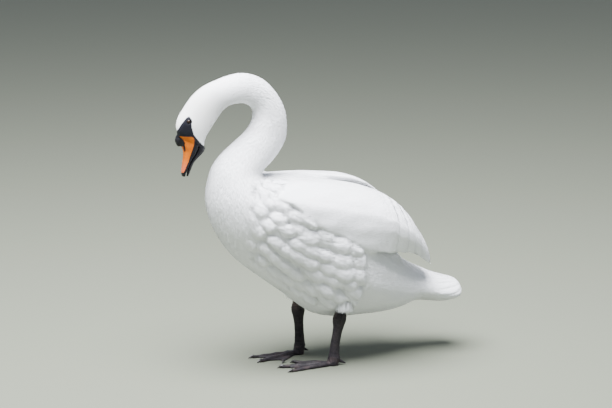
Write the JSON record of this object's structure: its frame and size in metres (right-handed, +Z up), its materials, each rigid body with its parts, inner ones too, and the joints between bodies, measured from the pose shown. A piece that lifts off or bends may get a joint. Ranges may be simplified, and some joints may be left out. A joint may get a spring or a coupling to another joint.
{
  "type": "mute swan",
  "caption": "Life-size still model of a standing mute swan, neck arched over and bill pointing down, wings folded, on webbed feet.",
  "frame": {"origin": "centre of the bounding box at floor level, between the feet and under the belly", "axes": "+Z up, the breast and toes towards -Y, the tail towards +Y, the swan's left side towards +X"},
  "size_m": [0.333, 0.7413, 0.731],
  "materials": {
    "plumage": "soft white feathers",
    "bill_orange": "smooth leathery bill skin",
    "bill_black": "smooth black skin",
    "leg_skin": "scaly dark skin",
    "eye": "glossy dark brown"
  },
  "bodies": {
    "root": {"bill_knob": "bill_black", "bill_lower": "bill_black", "bill_nail": "bill_black", "bill_upper": "bill_orange", "breast": "plumage", "eye_left": "eye", "eye_right": "eye", "flight_feathers_left": "plumage", "flight_feathers_right": "plumage", "foot_left": "leg_skin", "foot_right": "leg_skin", "head": "plumage", "neck_arch": "plumage", "neck_base": "plumage", "neck_middle": "plumage", "neck_top": "plumage", "rump": "plumage", "shank_left": "leg_skin", "shank_right": "leg_skin", "tail": "plumage", "thigh_left": "plumage", "thigh_right": "plumage", "trunk": "plumage", "wing_left": "plumage", "wing_right": "plumage"}
  },
  "joints": []
}
